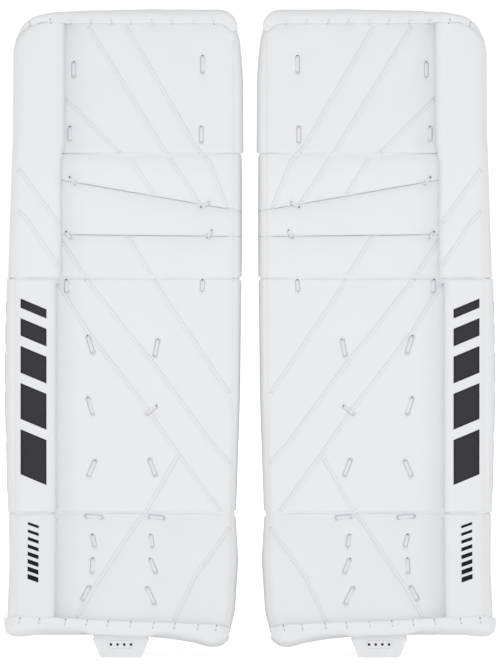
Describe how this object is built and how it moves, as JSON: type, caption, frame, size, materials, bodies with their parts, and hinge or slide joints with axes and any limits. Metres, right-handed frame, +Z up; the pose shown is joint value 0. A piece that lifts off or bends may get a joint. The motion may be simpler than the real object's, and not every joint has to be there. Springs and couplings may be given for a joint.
{
  "type": "goalie leg pads",
  "caption": "Ice hockey goalie leg pads, left and right: tall foam faces with knee rolls and a proud outer roll, in sections that flex, with strapped leg channels behind.",
  "frame": {"origin": "on the floor, midway between the two pads and midway from the front to the back of their box, with the pads upright on their toe tabs", "axes": "+Z up from the toe tabs to the thigh, +X from the wearer's right pad to the left pad, +Y from the face back to the leg"},
  "size_m": [0.59, 0.2198, 0.7802],
  "materials": {
    "white_leather": "satin",
    "white_binding": "satin",
    "dark_lining": "matte",
    "black_webbing": "matte",
    "foam": "matte",
    "plastic_sheet": "satin"
  },
  "bodies": {
    "left_shin": {"left_shin_cover": "white_leather", "left_shin_core": "foam", "left_shin_stiffener": "plastic_sheet", "left_shin_outer_roll": "white_leather", "left_calf_channel": "dark_lining"},
    "left_boot": {"left_boot_cover": "white_leather", "left_boot_core": "foam", "left_boot_outer_roll": "white_leather", "left_bottom_binding": "white_binding", "left_boot_channel": "dark_lining"},
    "left_knee": {"left_knee_base": "foam", "left_knee_roll_lower": "white_leather", "left_knee_roll_middle": "white_leather", "left_knee_roll_upper": "white_leather", "left_knee_outer_roll": "white_leather", "left_knee_cradle": "dark_lining", "left_knee_block": "white_leather", "left_knee_landing": "dark_lining"},
    "left_thigh": {"left_thigh_cover": "white_leather", "left_thigh_core": "foam", "left_thigh_outer_roll": "white_leather", "left_thigh_liner": "dark_lining", "left_top_binding": "white_binding"},
    "left_toe_tab": {"left_toe_tab": "white_binding"},
    "left_boot_strap": {"left_boot_strap": "black_webbing"},
    "left_calf_wing": {"left_calf_wing": "white_leather"},
    "left_upper_calf_strap": {"left_upper_calf_strap": "black_webbing"},
    "left_lower_calf_strap": {"left_lower_calf_strap": "black_webbing"},
    "left_knee_wing": {"left_knee_wing": "white_leather"},
    "left_knee_strap": {"left_knee_strap": "black_webbing"},
    "right_shin": {"right_shin_cover": "white_leather", "right_shin_core": "foam", "right_shin_stiffener": "plastic_sheet", "right_shin_outer_roll": "white_leather", "right_calf_channel": "dark_lining"},
    "right_boot": {"right_boot_cover": "white_leather", "right_boot_core": "foam", "right_boot_outer_roll": "white_leather", "right_bottom_binding": "white_binding", "right_boot_channel": "dark_lining"},
    "right_knee": {"right_knee_base": "foam", "right_knee_roll_lower": "white_leather", "right_knee_roll_middle": "white_leather", "right_knee_roll_upper": "white_leather", "right_knee_outer_roll": "white_leather", "right_knee_cradle": "dark_lining", "right_knee_block": "white_leather", "right_knee_landing": "dark_lining"},
    "right_thigh": {"right_thigh_cover": "white_leather", "right_thigh_core": "foam", "right_thigh_outer_roll": "white_leather", "right_thigh_liner": "dark_lining", "right_top_binding": "white_binding"},
    "right_toe_tab": {"right_toe_tab": "white_binding"},
    "right_boot_strap": {"right_boot_strap": "black_webbing"},
    "right_calf_wing": {"right_calf_wing": "white_leather"},
    "right_upper_calf_strap": {"right_upper_calf_strap": "black_webbing"},
    "right_lower_calf_strap": {"right_lower_calf_strap": "black_webbing"},
    "right_knee_wing": {"right_knee_wing": "white_leather"},
    "right_knee_strap": {"right_knee_strap": "black_webbing"}
  },
  "joints": [
    {"name": "left_boot_flex", "type": "hinge", "parent": "left_shin", "child": "left_boot", "pos_m": [0, -0.06643, 0.1738], "axis": [1, 0, 0], "range_deg": [-8, 20], "stiffness_Nm_per_rad": 60},
    {"name": "left_knee_flex", "type": "hinge", "parent": "left_shin", "child": "left_knee", "pos_m": [0, -0.06643, 0.4558], "axis": [-1, 0, 0], "range_deg": [-8, 12], "stiffness_Nm_per_rad": 60},
    {"name": "left_thigh_flex", "type": "hinge", "parent": "left_knee", "child": "left_thigh", "pos_m": [0, -0.06643, 0.6066], "axis": [-1, 0, 0], "range_deg": [-10, 12], "stiffness_Nm_per_rad": 60},
    {"name": "left_calf_wing_swing", "type": "hinge", "parent": "left_shin", "child": "left_calf_wing", "pos_m": [0.261, -0.00943, 0.1738], "axis": [0, 0, -1], "range_deg": [0, 65], "stiffness_Nm_per_rad": 1},
    {"name": "left_upper_calf_strap_swing", "type": "hinge", "parent": "left_calf_wing", "child": "left_upper_calf_strap", "pos_m": [0.25726, 0.08319, 0.3638], "axis": [0, 0, -1], "range_deg": [0, 100]},
    {"name": "left_lower_calf_strap_swing", "type": "hinge", "parent": "left_calf_wing", "child": "left_lower_calf_strap", "pos_m": [0.25726, 0.08319, 0.2638], "axis": [0, 0, -1], "range_deg": [0, 100]},
    {"name": "left_knee_wing_swing", "type": "hinge", "parent": "left_knee", "child": "left_knee_wing", "pos_m": [0.261, -0.00943, 0.4558], "axis": [0, 0, -1], "range_deg": [0, 65], "stiffness_Nm_per_rad": 1},
    {"name": "left_knee_strap_swing", "type": "hinge", "parent": "left_knee_wing", "child": "left_knee_strap", "pos_m": [0.25841, 0.08207, 0.5298], "axis": [0, 0, -1], "range_deg": [0, 100]},
    {"name": "left_boot_strap_swing", "type": "hinge", "parent": "left_boot", "child": "left_boot_strap", "pos_m": [0.252, 0.04217, 0.09157], "axis": [0, -0.1908, -0.9816], "range_deg": [0, 100]},
    {"name": "left_toe_tab_flex", "type": "hinge", "parent": "left_boot", "child": "left_toe_tab", "pos_m": [0.155, -0.07944, 0.023], "axis": [1, 0, 0], "range_deg": [-30, 30], "stiffness_Nm_per_rad": 0.05},
    {"name": "right_boot_flex", "type": "hinge", "parent": "right_shin", "child": "right_boot", "pos_m": [0, -0.06643, 0.1738], "axis": [1, 0, 0], "range_deg": [-8, 20], "stiffness_Nm_per_rad": 60},
    {"name": "right_knee_flex", "type": "hinge", "parent": "right_shin", "child": "right_knee", "pos_m": [0, -0.06643, 0.4558], "axis": [-1, 0, 0], "range_deg": [-8, 12], "stiffness_Nm_per_rad": 60},
    {"name": "right_thigh_flex", "type": "hinge", "parent": "right_knee", "child": "right_thigh", "pos_m": [0, -0.06643, 0.6066], "axis": [-1, 0, 0], "range_deg": [-10, 12], "stiffness_Nm_per_rad": 60},
    {"name": "right_calf_wing_swing", "type": "hinge", "parent": "right_shin", "child": "right_calf_wing", "pos_m": [-0.261, -0.00943, 0.1738], "axis": [0, 0, 1], "range_deg": [0, 65], "stiffness_Nm_per_rad": 1},
    {"name": "right_upper_calf_strap_swing", "type": "hinge", "parent": "right_calf_wing", "child": "right_upper_calf_strap", "pos_m": [-0.25726, 0.08319, 0.3638], "axis": [0, 0, 1], "range_deg": [0, 100]},
    {"name": "right_lower_calf_strap_swing", "type": "hinge", "parent": "right_calf_wing", "child": "right_lower_calf_strap", "pos_m": [-0.25726, 0.08319, 0.2638], "axis": [0, 0, 1], "range_deg": [0, 100]},
    {"name": "right_knee_wing_swing", "type": "hinge", "parent": "right_knee", "child": "right_knee_wing", "pos_m": [-0.261, -0.00943, 0.4558], "axis": [0, 0, 1], "range_deg": [0, 65], "stiffness_Nm_per_rad": 1},
    {"name": "right_knee_strap_swing", "type": "hinge", "parent": "right_knee_wing", "child": "right_knee_strap", "pos_m": [-0.25841, 0.08207, 0.5298], "axis": [0, 0, 1], "range_deg": [0, 100]},
    {"name": "right_boot_strap_swing", "type": "hinge", "parent": "right_boot", "child": "right_boot_strap", "pos_m": [-0.252, 0.04217, 0.09157], "axis": [0, 0.1908, 0.9816], "range_deg": [0, 100]},
    {"name": "right_toe_tab_flex", "type": "hinge", "parent": "right_boot", "child": "right_toe_tab", "pos_m": [-0.155, -0.07944, 0.023], "axis": [1, 0, 0], "range_deg": [-30, 30], "stiffness_Nm_per_rad": 0.05},
    {"name": "pads_apart", "type": "slide", "parent": "right_shin", "child": "left_shin", "axis": [1, 0, 0], "range_m": [0, 0.4]}
  ]
}
